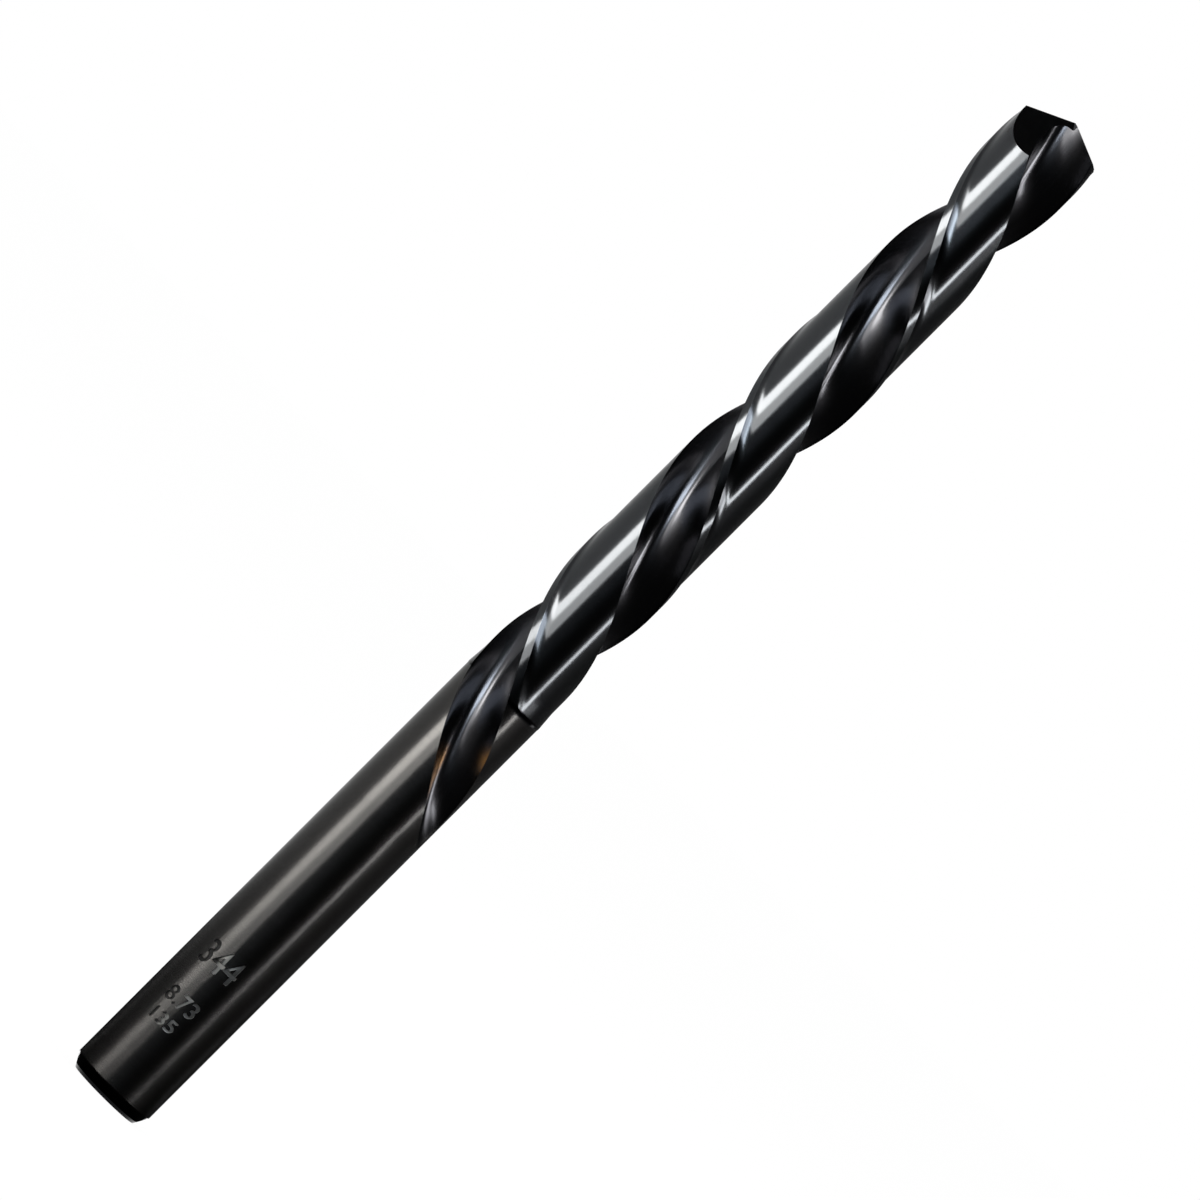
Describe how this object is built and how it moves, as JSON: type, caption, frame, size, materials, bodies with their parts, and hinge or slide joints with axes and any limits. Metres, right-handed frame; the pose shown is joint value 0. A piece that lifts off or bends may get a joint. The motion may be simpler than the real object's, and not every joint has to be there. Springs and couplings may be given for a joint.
{
  "type": "twist drill bit",
  "caption": "Left-hand twist drill bit: plain chamfered shank, helical flutes with margins that run out into the shank, and a notched 135 degree split point.",
  "frame": {"origin": "centre of the shank's flat end face", "axes": "+Z along the axis to the point; the cutting lips run along +X and -X; the drill stands on its shank"},
  "size_m": [0.0088, 0.0088, 0.1207],
  "materials": {
    "drill_steel": "black oxide, polished lands"
  },
  "bodies": {
    "root": {"drill_bit": "drill_steel"}
  },
  "joints": []
}
